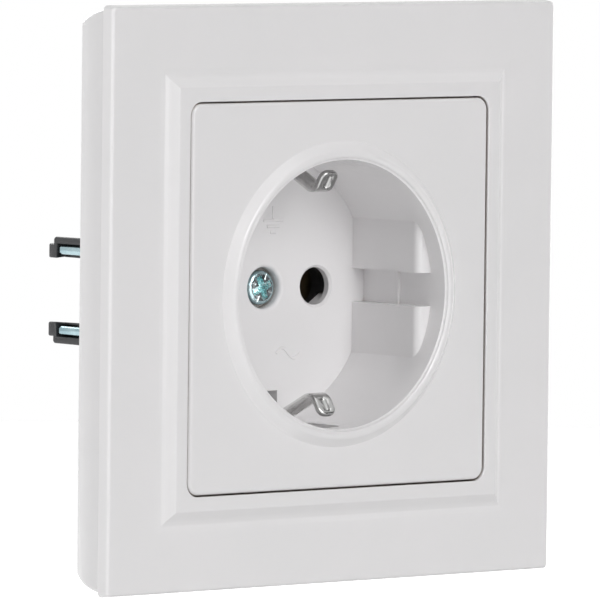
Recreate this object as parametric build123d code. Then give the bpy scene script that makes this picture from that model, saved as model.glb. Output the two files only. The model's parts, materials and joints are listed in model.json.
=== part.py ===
# Flush wall socket with side earth clips: frame, cover, yoke, carrier, base, contacts and claws.
# Millimetres. +X is the viewer's right, +Y goes into the wall, +Z is up and Y = 0 is the wall.
import os
from math import cos, radians, sin, sqrt
from build123d import *

# Cover frame
frame_side = 82.0
frame_height = 9.0
frame_edge = 1.45
bevel_run = 1.4
bevel_drop = 0.7
bevel_soft_r = 1.2
frame_corner_r = 0.8
skirt_step = 0.55
skirt_draft = 1.5
skirt_bulge = 0.25
skirt_lip = 0.8
skirt_lip_inset = 0.35
skirt_corner_r = 0.6
skirt_wall = 1.8
front_wall = 2.0
rim_rise = 1.5
rim_flat = 2.0
rim_slope_run = 1.0
rim_cove_run = 1.2
rim_cove_rise = 0.6
rim_edge_r = 0.25
window_side = 55.0
window_corner_r = 2.0
window_edge_r = 0.25
ledge_width = 2.0
collar_clear = 0.35
collar_wall = 1.4
collar_gap_width = 15.0
frame_rib_wall = 1.2
frame_rib_place = 19.0
frame_rib_clear = 2.0

# Socket cover: plate, raised ring and round recess
cover_gap = 0.22
cover_thick = 2.2
cover_corner_r = 1.75
cover_edge_r = 0.55
ring_crest = 1.4
ring_slope = 1.15
lip_rise = 1.0
lip_crown = 0.15
lip_edge_r = 0.35
well_r = 19.0
well_depth = 17.5
well_wall = 1.5
well_floor = 1.3
lug_depth = 2.65
lug_slot = 4.8
lug_shelf_depth = 3.3
lug_edge_r = 1.0
slot_pad = 0.5
slot_pad_depth = 10.0
pin_spacing = 19.0
pin_hole_r = 2.7
pin_lead = 0.35
guide_clear = 0.05
guide_angle = -55.0
guide_thick = 1.2
guide_length = 4.4
guide_depth = 1.6
clip_slot_width = 5.0
clip_slot_depth = 4.35
clip_pocket_depth = 1.2
clip_pocket_wall = 1.2
clip_pocket_start = 3.5

# Cover screw and its seat
screw_head_r = 2.45
screw_head_h = 1.8
screw_head_sink = 0.5
screw_head_clear = 0.5
screw_hole_edge_r = 0.6
screw_r = 1.5
screw_length = 10.2
screw_clear = 0.2
thread_clear = 0.05
boss_r = 4.6
boss_floor = 1.1

# Yoke and its fixings
yoke_margin = 1.3
yoke_thick = 1.0
yoke_corner = 9.0
yoke_clear = 0.7
box_screw_spacing = 60.0
box_slot_width = 4.2
box_slot_length = 7.0
rivet_r = 1.1
rivet_head_r = 2.0
rivet_head_h = 0.8
rivet_length = 14.0

# Moulded claw carrier and base
bore_clear = 0.4
floor_gap = 0.4
ring_wall_x = 1.1
ring_wall_z = 1.2
carrier_chamfer = 8.0
side_wall_half = 12.0
side_wall_end = 16.0
fit_clear = 0.3
rivet_wall = 0.7
base_half_z = 19.5
base_step_depth = 18.0
block_half_x = 15.6
block_corner_r = 3.0
base_depth = 27.0
foot_wall = 1.4

# Earth strap with its two clips
strap_thick = 0.9
strap_width = 3.2
leg_inset = 1.15
strap_leg_y = 1.5
clip_apex_y = -6.1
clip_apex_inset = 4.85
clip_tip_y = -8.1
clip_tip_inset = 1.7
clip_tip_r = 1.2
strap_bend_r = 1.7
leg_bend_r = 6.8
strap_plate_width = 7.0
strap_collar_r = 2.6
strap_collar_h = 2.2
strap_gap = 0.1
strap_clear = 0.3
groove_r = 0.5
groove_depth = 0.3
tip_groove = (0.26, 0.64)
leg_groove = (0.25, 0.78)

# Plug contacts and terminals
plug_pin_r = 2.4
plug_pin_length = 19.0
jaw_clear = 0.1
contact_thick = 0.7
contact_start = 14.0
contact_length = 7.4
contact_clear = 0.3
passage_clear = 0.2
tongue_y = 14.6
tongue_width = 5.4
tongue_thick = 0.8
terminal_drop = 12.2
earth_terminal_z = 10.4
terminal_plate = 7.4
terminal_plate_thick = 1.2
terminal_head_r = 2.9
terminal_head_h = 2.2
terminal_r = 1.6
terminal_reach = 4.6
earth_reach = 3.0
terminal_slot = 0.9
terminal_well = 8.4
wire_entry = 4.0

# Spreading claws
claw_thick = 1.2
claw_centre_z = 5.7
claw_eye_clear = 0.3
claw_pivot_y = 5.4
claw_pivot_r = 0.9
claw_eye_wall = 0.5
claw_reach = 5.15
claw_width = 3.6
claw_web_lip = 0.1
claw_tip_y = 17.1
claw_tip_r = 0.7
claw_tip_taper = 1.6
claw_edge = 0.25
claw_bend_r = 0.95
claw_lever = 3.15
claw_screw_length = 13.0
claw_head_r = 2.75
claw_head_h = 2.0
claw_nut_r = 2.0
claw_nut_half = 3.8
claw_nut_gap = 0.05
running_clear = 0.05
recess_span = 4.5
recess_width = 0.8
recess_depth = 1.1

# Moulded arms that guard the claws
arm_cover = 0.1
arm_floor_clear = 0.7
arm_root = 2.0
arm_inner_z = 4.5
arm_outer_z = 7.55
arm_inner_wall = 0.35
arm_inner_step = 1.6
arm_taper = 0.7
arm_outer_wall = 1.0
arm_start = 8.0
arm_end = 19.0
arm_end_wall = 1.75
arm_end_step = 1.05
arm_end_r = 0.5

# Levels along Y, worked out from the sizes above
flat_y = -frame_height
face_y = flat_y - rim_rise
lip_y = face_y - lip_rise
floor_y = lip_y + well_depth
floor_back = floor_y + well_floor
cover_back = face_y + cover_thick
step_y = flat_y + frame_edge
frame_inside_y = flat_y + front_wall
head_y = floor_y + screw_head_sink
seat_y = head_y + screw_head_h
boss_back = seat_y + boss_floor
strap_front = boss_back + strap_gap
strap_back = strap_front + strap_thick
deck_y = strap_back
insulator_front = floor_back + floor_gap
guide_back = floor_back + guide_depth
slot_wall_back = strap_front - strap_clear
screw_end_y = seat_y + screw_length
rivet_end_y = rivet_length - yoke_thick
pin_end_y = floor_y + plug_pin_length
contact_back = contact_start + contact_length
tongue_back = tongue_y + tongue_thick
web_back = claw_pivot_y - claw_nut_r - claw_nut_gap
web_front = web_back - claw_thick

# Sizes across, worked out from the sizes above
pin_x = pin_spacing / 2
cover_side = window_side - 2 * cover_gap
rim_top_side = window_side + 2 * rim_flat
ledge_side = window_side - 2 * ledge_width
ring_crest_r = well_r + ring_crest
ring_base_r = ring_crest_r + ring_slope
cup_r = well_r + well_wall
bore_r = cup_r + bore_clear
lug_face_x = well_r - lug_depth
clip_slot_start = well_r - clip_slot_depth
pocket_r = well_r + clip_pocket_depth
pad_r = pocket_r + clip_pocket_wall
pad_half = clip_slot_width / 2 + clip_pocket_wall
strap_leg_z = well_r - leg_inset
clip_apex_z = well_r - clip_apex_inset
clip_tip_z = well_r - clip_tip_inset
rivet_place = (bore_r + yoke_clear + rivet_head_r) / sqrt(2)
base_half_x = rivet_place + rivet_r + rivet_wall
carrier_half_x = bore_r + ring_wall_x
carrier_half_z = pad_r + bore_clear + ring_wall_z
claw_eye_r = claw_pivot_r + running_clear + claw_eye_wall
claw_pivot_x = carrier_half_x + claw_eye_clear + claw_eye_r
claw_screw_x = claw_pivot_x + claw_lever
claw_outer_x = claw_pivot_x + claw_reach
claw_inner_x = claw_outer_x - claw_width
claw_web_x = claw_outer_x + claw_web_lip
claw_half_z = claw_centre_z + claw_thick / 2
arm_outer_x = claw_outer_x + arm_cover
arm_floor_x = claw_inner_x - arm_floor_clear
arm_root_x = carrier_half_x - arm_root
collar_side = 2 * (claw_screw_x + claw_head_r + collar_clear)
yoke_side = frame_side - 2 * (skirt_step + skirt_draft + skirt_lip_inset + skirt_wall + yoke_margin)


def slab(sketch, front, back):
    # A sketch drawn in X and Z, filled between two Y levels.
    plane = Plane((0, back, 0), x_dir=(1, 0, 0), z_dir=(0, -1, 0))
    return extrude(plane * sketch, amount=back - front)


def block(x, y, z):
    # A box from its lowest and highest value on each axis.
    size = Box(x[1] - x[0], y[1] - y[0], z[1] - z[0])
    return Pos((x[0] + x[1]) / 2, (y[0] + y[1]) / 2, (z[0] + z[1]) / 2) * size


def rod(x, z, radius, front, back):
    return slab(Pos(x, z) * Circle(radius), front, back)


def upright(x, y, radius, half):
    return Pos(x, y, 0) * Cylinder(radius, 2 * half)


def four_sided(profile):
    # The same edge profile on all four sides, mitred at the corners.
    bar = extrude(profile, amount=frame_side, both=True)
    return bar & bar.rotate(Axis.Y, 90)


def front_edges(solid):
    return solid.faces().sort_by(Axis.Y)[0].edges()


def skirt_profile(inset, front):
    wide = frame_side / 2 - skirt_step - inset
    narrow = wide - skirt_draft
    middle = ((wide + narrow) / 2 + skirt_bulge, front / 2)
    side = ThreePointArc((narrow, -skirt_lip), middle, (wide, front))
    lip = Line((narrow - skirt_lip_inset, 0), side @ 0)
    half = [lip, side, Line(side @ 1, (0, front)), Line((0, front), (0, 0)), Line((0, 0), lip @ 0)]
    face = make_face(half)
    return face + mirror(face, Plane.YZ)


def plate_profile():
    half = frame_side / 2
    bevel = [(half, flat_y + bevel_drop), (half - bevel_run, flat_y)]
    face = make_face(Polyline((0, step_y), (half, step_y), *bevel, (0, flat_y), close=True))
    inner = face.vertices().sort_by(Axis.Y)[:2].sort_by(Axis.X)[-1]
    face = fillet(inner, bevel_soft_r)
    return face + mirror(face, Plane.YZ)


def rim_profile():
    top = rim_top_side / 2
    cove_end = (top + rim_slope_run, flat_y - rim_cove_rise)
    cove_start = (top + rim_slope_run + rim_cove_run, flat_y)
    slope = Line((top, face_y), cove_end)
    cove = TangentArc(cove_end, cove_start, tangent=slope % 1)
    half = [Line((0, flat_y), cove_start), cove, slope, Line((top, face_y), (0, face_y))]
    half.append(Line((0, face_y), (0, flat_y)))
    face = make_face(half)
    return face + mirror(face, Plane.YZ)


def cover_frame():
    skirt = four_sided(skirt_profile(0, step_y))
    corners = [e for e in skirt.edges() if e.bounding_box().size.Y > skirt_lip / 2]
    skirt = fillet(corners, skirt_corner_r)
    plate = slab(RectangleRounded(frame_side, frame_side, frame_corner_r), flat_y, step_y)
    plate &= four_sided(plate_profile())
    rim = four_sided(rim_profile())
    rim = fillet(front_edges(rim), rim_edge_r)
    frame = skirt + plate + rim
    frame -= four_sided(skirt_profile(skirt_wall, frame_inside_y))
    collar_outer = collar_side + 2 * collar_wall
    collar = Rectangle(collar_outer, collar_outer) - Rectangle(collar_side, collar_side)
    collar -= Rectangle(collar_gap_width, frame_side)
    frame += slab(collar, frame_inside_y, -yoke_thick)
    skirt_inside = frame_side / 2 - skirt_step - skirt_draft - skirt_lip_inset - skirt_wall / 2
    rib_back = -yoke_thick - frame_rib_clear
    for turn in range(4):
        for place in (-frame_rib_place, frame_rib_place):
            span = (place - frame_rib_wall / 2, place + frame_rib_wall / 2)
            rib = block((collar_outer / 2, skirt_inside), (frame_inside_y, rib_back), span)
            frame += rib.rotate(Axis.Y, 90 * turn)
    frame -= slab(RectangleRounded(window_side, window_side, window_corner_r), face_y, cover_back)
    top = [e for e in frame.edges() if abs(e.center().Y - face_y) < 0.001]
    rim_start = rim_top_side / 2 - rim_edge_r
    frame = fillet([e for e in top if max(e.bounding_box().max) < rim_start], window_edge_r)
    return frame - slab(Rectangle(ledge_side, ledge_side), cover_back, frame_inside_y)


def well_section():
    # Half section of the raised ring and the round cup, for turning about Y.
    crest_y = lip_y - lip_crown
    lip_middle = (ring_crest_r + well_r) / 2
    inner = (well_r, lip_y + lip_edge_r)
    crest = ThreePointArc((ring_crest_r, lip_y), (lip_middle, crest_y), (well_r + lip_edge_r, lip_y))
    edge = RadiusArc(crest @ 1, inner, -lip_edge_r)
    wall = Polyline(inner, (well_r, floor_y), (0, floor_y), (0, floor_back), (cup_r, floor_back))
    outside = Polyline((cup_r, floor_back), (cup_r, cover_back), (ring_base_r, cover_back))
    slope = Polyline((ring_base_r, cover_back), (ring_base_r, face_y), (ring_crest_r, lip_y))
    return make_face([crest, edge, wall, outside, slope])


def guide_lug():
    # Flat-faced guide on the right side of the recess, split by a slot.
    shelf_y = lip_y + lug_shelf_depth
    keep = Pos(lug_face_x + well_r, 0) * Rectangle(2 * well_r, 2 * well_r)
    lug = slab(Circle(well_r + well_wall / 2) & keep, shelf_y, floor_y)
    edge = lug.edges().filter_by(Axis.Z).sort_by(Axis.Y)[0]
    lug = fillet(edge, lug_edge_r)
    half = lug_slot / 2
    lug -= block((lug_face_x, well_r), (shelf_y, floor_y), (-half, half))
    return lug + block((well_r - slot_pad, well_r), (lip_y + slot_pad_depth, floor_y), (-half, half))


def pin_guide(spread):
    # Slanted rib behind the right pin hole, just clear of it.
    reach = pin_hole_r + guide_clear + guide_thick / 2
    place = Pos(pin_x + reach * cos(radians(guide_angle)), reach * sin(radians(guide_angle)))
    shape = Rectangle(guide_thick + 2 * spread, guide_length + 2 * spread, rotation=guide_angle)
    return slab(place * shape, floor_back, guide_back + spread)


def socket_cover():
    plate = slab(RectangleRounded(cover_side, cover_side, cover_corner_r), face_y, cover_back)
    plate = fillet(front_edges(plate), cover_edge_r)
    cover = plate - rod(0, 0, cup_r, face_y, cover_back)
    cover += revolve(well_section(), Axis.Y)
    lug = guide_lug()
    cover += lug + mirror(lug, Plane.YZ)
    cover += rod(0, 0, boss_r, floor_back, boss_back)
    half = clip_slot_width / 2
    for sign in (-1, 1):
        pad = sorted((sign * (cup_r - well_wall / 2), sign * pad_r))
        cover += block((-pad_half, pad_half), (cover_back, floor_back), pad)
        wall = sorted((sign * clip_slot_start, sign * pocket_r))
        cover += block((-pad_half, pad_half), (floor_back, slot_wall_back), wall)
    cover += pin_guide(0) + mirror(pin_guide(0), Plane.YZ)
    for sign in (-1, 1):
        slot = sorted((sign * clip_slot_start, sign * pocket_r))
        cover -= block((-half, half), (lip_y + clip_pocket_start, slot_wall_back), slot)
        cover -= rod(sign * pin_x, 0, pin_hole_r, floor_y, floor_back)
        lead = Cone(pin_hole_r + pin_lead, pin_hole_r, pin_lead).rotate(Axis.X, -90)
        cover -= Pos(sign * pin_x, floor_y + pin_lead / 2, 0) * lead
    cover -= rod(0, 0, screw_head_r + screw_head_clear, floor_y, seat_y)
    rims = cover.edges().filter_by(GeomType.CIRCLE).filter_by(lambda e: abs(e.center().Y - floor_y) < 0.001)
    cover = fillet(rims.sort_by(lambda e: abs(e.arc_center.X) + e.radius)[0], screw_hole_edge_r)
    return cover - rod(0, 0, screw_r + screw_clear, seat_y, boss_back)


def cross_recess(x, front):
    # Straight cross cut into a screw head's front face.
    cut = Rectangle(recess_span, recess_width) + Rectangle(recess_width, recess_span)
    return slab(Pos(x, 0) * cut, front, front + recess_depth)


def pan_screw(x, front, head_r, head_h, length):
    head = rod(x, 0, head_r, front, front + head_h)
    head = fillet(front_edges(head), head_h / 3)
    shank = rod(x, 0, screw_r, front + head_h, front + head_h + length)
    tip = shank.faces().sort_by(Axis.Y)[-1].edges()
    return head + chamfer(tip, screw_r / 3) - cross_recess(x, front)


def mounting_yoke():
    outline = Rectangle(yoke_side, yoke_side)
    outline = chamfer(outline.vertices(), yoke_corner)
    outline -= Circle(bore_r + yoke_clear)
    outline -= Rectangle(2 * (pad_half + yoke_clear), 2 * (pad_r + yoke_clear))
    for sign in (-1, 1):
        slot = SlotOverall(box_slot_length, box_slot_width, rotation=90)
        outline -= Pos(0, sign * box_screw_spacing / 2) * slot
        outline -= Pos(sign * claw_screw_x, 0) * Circle(screw_r + screw_clear)
        for other in (-1, 1):
            outline -= Pos(sign * rivet_place, other * rivet_place) * Circle(rivet_r)
    return slab(outline, -yoke_thick, 0)


def yoke_rivets():
    front = -yoke_thick - rivet_head_h
    rivets = []
    for x in (-rivet_place, rivet_place):
        for z in (-rivet_place, rivet_place):
            head = fillet(front_edges(rod(x, z, rivet_head_r, front, -yoke_thick)), rivet_head_h / 2)
            rivets.append(head + rod(x, z, rivet_r, -yoke_thick, rivet_end_y))
    return Compound(children=rivets)


def claw_arm():
    # One channel that opens outward, at the right and above the middle, with walls that taper inward.
    low = arm_inner_z + arm_inner_wall
    high = arm_outer_z - arm_outer_wall
    corners = [(arm_root_x, arm_inner_z + arm_taper), (arm_outer_x, arm_inner_z)]
    corners += [(arm_outer_x, arm_outer_z), (arm_root_x, arm_outer_z - arm_taper)]
    arm = slab(make_face(Polyline(*corners, close=True)), 0, arm_end)
    wall = arm_end - arm_end_wall
    across = (arm_root_x, arm_outer_x)
    arm -= block(across, (0, arm_start), (arm_inner_z, high))
    arm -= block((arm_floor_x, arm_outer_x), (arm_start, wall), (low, high))
    arm -= block((arm_outer_x - arm_inner_step, arm_outer_x), (arm_start, wall), (arm_inner_z, low))
    arm -= block(across, (arm_end - arm_end_step, arm_end), (high, arm_outer_z))
    step = arm.edges().filter_by(lambda e: abs(e.center().Y - arm_end + arm_end_step) < 0.001)
    return fillet(step.sort_by(Axis.Z)[-1], arm_end_r)


def claw_carrier():
    # Ring around the recess with side walls and the four arms.
    outline = chamfer(Rectangle(2 * carrier_half_x, 2 * carrier_half_z).vertices(), carrier_chamfer)
    body = slab(outline, 0, deck_y)
    arm = claw_arm()
    arms = arm + mirror(arm, Plane.XY)
    wall = (base_half_x + fit_clear, carrier_half_x)
    arms += block(wall, (deck_y, side_wall_end), (-side_wall_half, side_wall_half))
    body += arms + mirror(arms, Plane.YZ)
    body -= rod(0, 0, bore_r, 0, deck_y)
    notch = pad_half + bore_clear
    body -= block((-notch, notch), (0, deck_y), (-pad_r - bore_clear, pad_r + bore_clear))
    for side in (-1, 1):
        body -= upright(side * claw_pivot_x, claw_pivot_y, claw_pivot_r, arm_outer_z)
        for upper in (-1, 1):
            body -= rod(side * rivet_place, upper * rivet_place, rivet_r, 0, deck_y)
    return body


def contact_cover():
    # Insulating plate over the plug contacts, grooved for the earth strap.
    height = 2 * (clip_slot_start - fit_clear)
    plate = slab(Circle(bore_r - fit_clear) & Rectangle(2 * bore_r, height), insulator_front, deck_y)
    half = strap_plate_width / 2 + strap_clear
    plate -= block((-half, half), (strap_front - strap_gap, deck_y), (-bore_r, bore_r))
    plate -= rod(0, 0, boss_r + strap_clear, insulator_front, deck_y)
    plate -= rod(0, earth_terminal_z, terminal_r + strap_clear, insulator_front, deck_y)
    for side in (-1, 1):
        plate -= rod(side * pin_x, 0, pin_hole_r + passage_clear, insulator_front, deck_y)
    guide = pin_guide(fit_clear)
    return plate - guide - mirror(guide, Plane.YZ)


def contact_cavity(side):
    # Chamber for one plug contact, open to the front, with its terminal well open to the rear.
    x = side * pin_x
    jaw = plug_pin_r + jaw_clear + contact_thick + contact_clear
    cavity = block((x - jaw, x + jaw), (deck_y, contact_back), (-jaw, jaw))
    end = plug_pin_r + contact_clear
    cavity += block((x - end, x + end), (contact_back, pin_end_y + jaw_clear), (-end, end))
    slim = tongue_width / 2 + contact_clear
    foot = -terminal_drop - terminal_well / 2 - foot_wall
    cavity += block((x - slim, x + slim), (deck_y, tongue_back), (foot, 0))
    well = terminal_well / 2
    tall = (-terminal_drop - well, well - terminal_drop)
    cavity += block((x - well, x + well), (tongue_back, base_depth), tall)
    entry = wire_entry / 2
    start = tongue_back + terminal_plate_thick
    return cavity + block((x - entry, x + entry), (start, start + wire_entry), (-base_half_z, -terminal_drop))


def earth_cavity():
    well = terminal_well / 2
    z = earth_terminal_z
    cavity = block((-well, well), (strap_back, base_depth), (z - well, z + well))
    start = strap_back + terminal_plate_thick
    entry = wire_entry / 2
    return cavity + block((-entry, entry), (start, start + wire_entry), (z, base_half_z))


def base():
    wide = RectangleRounded(2 * base_half_x, 2 * base_half_z, block_corner_r)
    slim = RectangleRounded(2 * block_half_x, 2 * base_half_z, block_corner_r)
    body = slab(wide, deck_y, base_step_depth) + slab(slim, deck_y, base_depth)
    body -= rod(0, 0, strap_collar_r + strap_clear, deck_y, screw_end_y + contact_clear)
    body -= earth_cavity()
    for side in (-1, 1):
        body -= contact_cavity(side)
        for upper in (-1, 1):
            body -= rod(side * rivet_place, upper * rivet_place, rivet_r, deck_y, rivet_end_y)
    return body


def plug_contact(side):
    x = side * pin_x
    gap = plug_pin_r + jaw_clear
    out = gap + contact_thick
    section = RectangleRounded(2 * out, 2 * out, contact_thick)
    section -= RectangleRounded(2 * gap, 2 * gap, contact_thick)
    section -= Pos(-side * out, 0) * Rectangle(2 * contact_thick, 2 * gap)
    jaws = slab(Pos(x, 0) * section, contact_start, contact_back)
    foot = -terminal_drop - terminal_plate / 2
    half = tongue_width / 2
    tongue = block((x - half, x + half), (tongue_y, tongue_back), (foot, -gap))
    return jaws + tongue - rod(x, -terminal_drop, terminal_r + thread_clear, tongue_y, tongue_back)


def strap_path():
    flat = strap_front + strap_thick / 2
    half = [(clip_tip_y, clip_tip_z), (clip_apex_y, clip_apex_z), (strap_leg_y, strap_leg_z)]
    half.append((flat, strap_leg_z))
    other = [(y, -z) for y, z in reversed(half)]
    bends = [strap_bend_r, leg_bend_r, strap_bend_r]
    return FilletPolyline(half + other, radius=bends + bends[::-1])


def capsule(start, end):
    # A rod with round ends between two points of the middle plane.
    line = Line((0, *start), (0, *end))
    body = Plane(line @ 0.5, z_dir=line % 0.5) * Cylinder(groove_r, line.length)
    return body + Pos(*(line @ 0)) * Sphere(groove_r) + Pos(*(line @ 1)) * Sphere(groove_r)


def clip_grooves():
    # Stiffening grooves pressed into the front faces of the upper clip.
    rise = strap_thick / 2 + groove_r - groove_depth
    tip = Vector(clip_tip_y, clip_tip_z)
    apex = Vector(clip_apex_y, clip_apex_z)
    leg = Vector(strap_leg_y, strap_leg_z)
    grooves = []
    for start, span in ((tip, tip_groove), (leg, leg_groove)):
        run = apex - start
        side = Vector(run.Y, -run.X).normalized()
        if side.X > 0:
            side = -side
        points = [start + run * share + side * rise for share in span]
        grooves.append(capsule(*[(point.X, point.Y) for point in points]))
    return grooves[0] + grooves[1]


def earth_strap():
    section = trace(strap_path(), line_width=strap_thick)
    strap = extrude(Plane.YZ * section, amount=strap_width / 2, both=True)
    tips = [e for e in strap.edges() if e.center().Y < clip_apex_y and abs(e.length - strap_thick) < 0.01
            and abs(e.center().X) > strap_width / 4]
    strap = fillet(tips, clip_tip_r)
    grooves = clip_grooves()
    strap -= grooves + mirror(grooves, Plane.XY)
    half = strap_plate_width / 2
    strap += block((-half, half), (strap_front, strap_back), (-half, earth_terminal_z + terminal_plate / 2))
    strap += rod(0, 0, strap_collar_r, strap_back, strap_back + strap_collar_h)
    strap -= rod(0, 0, screw_r + thread_clear, strap_front, strap_back + strap_collar_h)
    return strap - rod(0, earth_terminal_z, terminal_r + thread_clear, strap_front, strap_back)


def clamp_plate(x, z, seat):
    half = terminal_plate / 2
    plate = block((x - half, x + half), (seat, seat + terminal_plate_thick), (z - half, z + half))
    plate = fillet(plate.edges().filter_by(Axis.Y), terminal_plate_thick)
    return plate - rod(x, z, terminal_r + screw_clear, seat, seat + terminal_plate_thick)


def terminal_screw(x, z, seat, reach):
    under = seat + terminal_plate_thick
    head = rod(x, z, terminal_head_r, under, under + terminal_head_h)
    head = fillet(head.faces().sort_by(Axis.Y)[-1].edges(), terminal_head_h / 3)
    slot = Pos(x, z) * Rectangle(2 * terminal_head_r, terminal_slot)
    head -= slab(slot, under + terminal_head_h / 2, under + terminal_head_h)
    return head + rod(x, z, terminal_r, under - reach, under)


def claw():
    # U-shaped claw on the right: a forked web in front and two blades that point to the rear.
    outer = Polyline((claw_pivot_x, web_front), (claw_web_x, web_front), (claw_web_x, web_back))
    side = Polyline((claw_web_x, web_back), (claw_outer_x, claw_pivot_y), (claw_outer_x, claw_tip_y))
    inner = Polyline((claw_outer_x, claw_tip_y), (claw_inner_x + claw_tip_taper, claw_tip_y),
                     (claw_inner_x, claw_tip_y - 2 * claw_tip_taper), (claw_inner_x, arm_start))
    back = Polyline((claw_inner_x, arm_start), (claw_pivot_x, claw_pivot_y), (claw_pivot_x, web_front))
    outline = make_face([outer, side, inner, back])
    tip = outline.vertices().sort_by(Axis.Y)[-2:]
    outline = fillet(tip.sort_by(Axis.X)[-1], claw_tip_r)
    outline += Pos(claw_pivot_x, claw_pivot_y) * Circle(claw_eye_r)
    blade = extrude(outline, amount=claw_thick / 2, both=True)
    sheared = blade.edges().filter_by(lambda e: e.center().Y > arm_start and e.bounding_box().size.Z < 0.001)
    blade = chamfer(sheared, claw_edge)
    body = Pos(0, 0, claw_centre_z) * blade + Pos(0, 0, -claw_centre_z) * blade
    body += block((claw_pivot_x, claw_web_x), (web_front, web_back), (-claw_half_z, claw_half_z))
    bends = body.edges().filter_by(Axis.X).group_by(Axis.Y)[0]
    body = fillet(bends, claw_bend_r)
    body -= upright(claw_pivot_x, claw_pivot_y, claw_pivot_r + running_clear, claw_half_z)
    fork = screw_r + screw_clear
    return body - block((claw_screw_x - fork, claw_web_x), (web_front, web_back), (-fork, fork))


def claw_nut():
    nut = upright(claw_screw_x, claw_pivot_y, claw_nut_r, claw_nut_half)
    span = (claw_pivot_y - claw_nut_r, claw_pivot_y + claw_nut_r)
    return nut - rod(claw_screw_x, 0, screw_r + running_clear, *span)


def claw_side(side):
    # The claw, its pivot pin, its barrel nut and its screw on one side.
    pieces = {
        "claw": claw(),
        "claw_pin": upright(claw_pivot_x, claw_pivot_y, claw_pivot_r, arm_outer_z),
        "claw_nut": claw_nut(),
        "claw_screw": pan_screw(claw_screw_x, -yoke_thick - claw_head_h, claw_head_r, claw_head_h,
                                claw_screw_length),
    }
    if side == "left":
        pieces = {name: mirror(solid, Plane.YZ) for name, solid in pieces.items()}
    return {side + "_" + name: solid for name, solid in pieces.items()}


def all_parts():
    parts = {
        "cover_frame": cover_frame(),
        "socket_cover": socket_cover(),
        "cover_screw": pan_screw(0, head_y, screw_head_r, screw_head_h, screw_length),
        "mounting_yoke": mounting_yoke(),
        "yoke_rivets": yoke_rivets(),
        "claw_carrier": claw_carrier(),
        "base": base(),
        "contact_cover": contact_cover(),
        "earth_strap": earth_strap(),
        "earth_clamp_plate": clamp_plate(0, earth_terminal_z, strap_back),
        "earth_terminal_screw": terminal_screw(0, earth_terminal_z, strap_back, earth_reach),
    }
    for pole, side in (("live", -1), ("neutral", 1)):
        place = (side * pin_x, -terminal_drop, tongue_back)
        parts[pole + "_contact"] = plug_contact(side)
        parts[pole + "_clamp_plate"] = clamp_plate(*place)
        parts[pole + "_terminal_screw"] = terminal_screw(*place, terminal_reach)
    for side in ("left", "right"):
        parts.update(claw_side(side))
    return parts


os.makedirs("parts", exist_ok=True)
for node, shape in all_parts().items():
    export_step(shape, "parts/" + node + ".step")
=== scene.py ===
import json
import math
import bmesh
import bpy
from mathutils import Matrix, Vector


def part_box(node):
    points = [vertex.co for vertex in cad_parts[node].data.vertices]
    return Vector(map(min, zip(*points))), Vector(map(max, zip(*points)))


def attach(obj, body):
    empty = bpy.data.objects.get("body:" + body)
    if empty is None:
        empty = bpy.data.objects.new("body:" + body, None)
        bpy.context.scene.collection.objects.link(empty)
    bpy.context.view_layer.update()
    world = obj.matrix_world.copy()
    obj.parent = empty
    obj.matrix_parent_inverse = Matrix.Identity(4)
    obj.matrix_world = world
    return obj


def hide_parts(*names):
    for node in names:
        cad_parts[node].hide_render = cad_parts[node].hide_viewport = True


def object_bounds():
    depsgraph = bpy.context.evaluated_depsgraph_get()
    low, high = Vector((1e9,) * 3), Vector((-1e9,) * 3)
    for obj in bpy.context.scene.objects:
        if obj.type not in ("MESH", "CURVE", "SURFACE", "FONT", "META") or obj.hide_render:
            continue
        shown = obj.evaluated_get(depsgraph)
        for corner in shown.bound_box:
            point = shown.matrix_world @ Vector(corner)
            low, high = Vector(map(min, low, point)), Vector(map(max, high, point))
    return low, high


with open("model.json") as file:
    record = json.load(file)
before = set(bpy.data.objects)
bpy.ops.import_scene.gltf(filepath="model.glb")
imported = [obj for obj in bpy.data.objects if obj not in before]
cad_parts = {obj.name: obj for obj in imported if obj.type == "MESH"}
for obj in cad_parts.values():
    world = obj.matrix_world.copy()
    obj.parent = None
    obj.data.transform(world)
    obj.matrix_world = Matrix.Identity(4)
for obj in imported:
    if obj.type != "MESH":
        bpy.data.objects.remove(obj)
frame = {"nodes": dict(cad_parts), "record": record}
cadLow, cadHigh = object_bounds()
nodes = frame["nodes"]
mm = 0.001
print("frame loaded with", len(nodes), "nodes")


# Node helpers

def addNode(tree, kind, values=None, **props):
    node = tree.nodes.new(kind)
    for name, value in props.items():
        setattr(node, name, value)
    for name, value in (values or {}).items():
        node.inputs[name].default_value = value
    return node


def newGroup(name, inputs, outputs):
    tree = bpy.data.node_groups.new(name, "ShaderNodeTree")
    for label, kind, value in inputs:
        socket = tree.interface.new_socket(label, in_out="INPUT", socket_type=kind)
        socket.default_value = value
    for label, kind in outputs:
        tree.interface.new_socket(label, in_out="OUTPUT", socket_type=kind)
    return tree, tree.nodes.new("NodeGroupInput"), tree.nodes.new("NodeGroupOutput")


def placeGroup(tree, group, values):
    node = tree.nodes.new("ShaderNodeGroup")
    node.node_tree = group
    for name, value in values.items():
        node.inputs[name].default_value = value
    return node


def millimetres(tree):
    # object coordinates are metres, so one texture unit becomes one millimetre
    coords = tree.nodes.new("ShaderNodeTexCoord")
    scaled = addNode(tree, "ShaderNodeVectorMath", operation="SCALE")
    scaled.inputs["Scale"].default_value = 1 / mm
    tree.links.new(coords.outputs["Object"], scaled.inputs[0])
    return scaled.outputs[0]


# Shared effects

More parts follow.
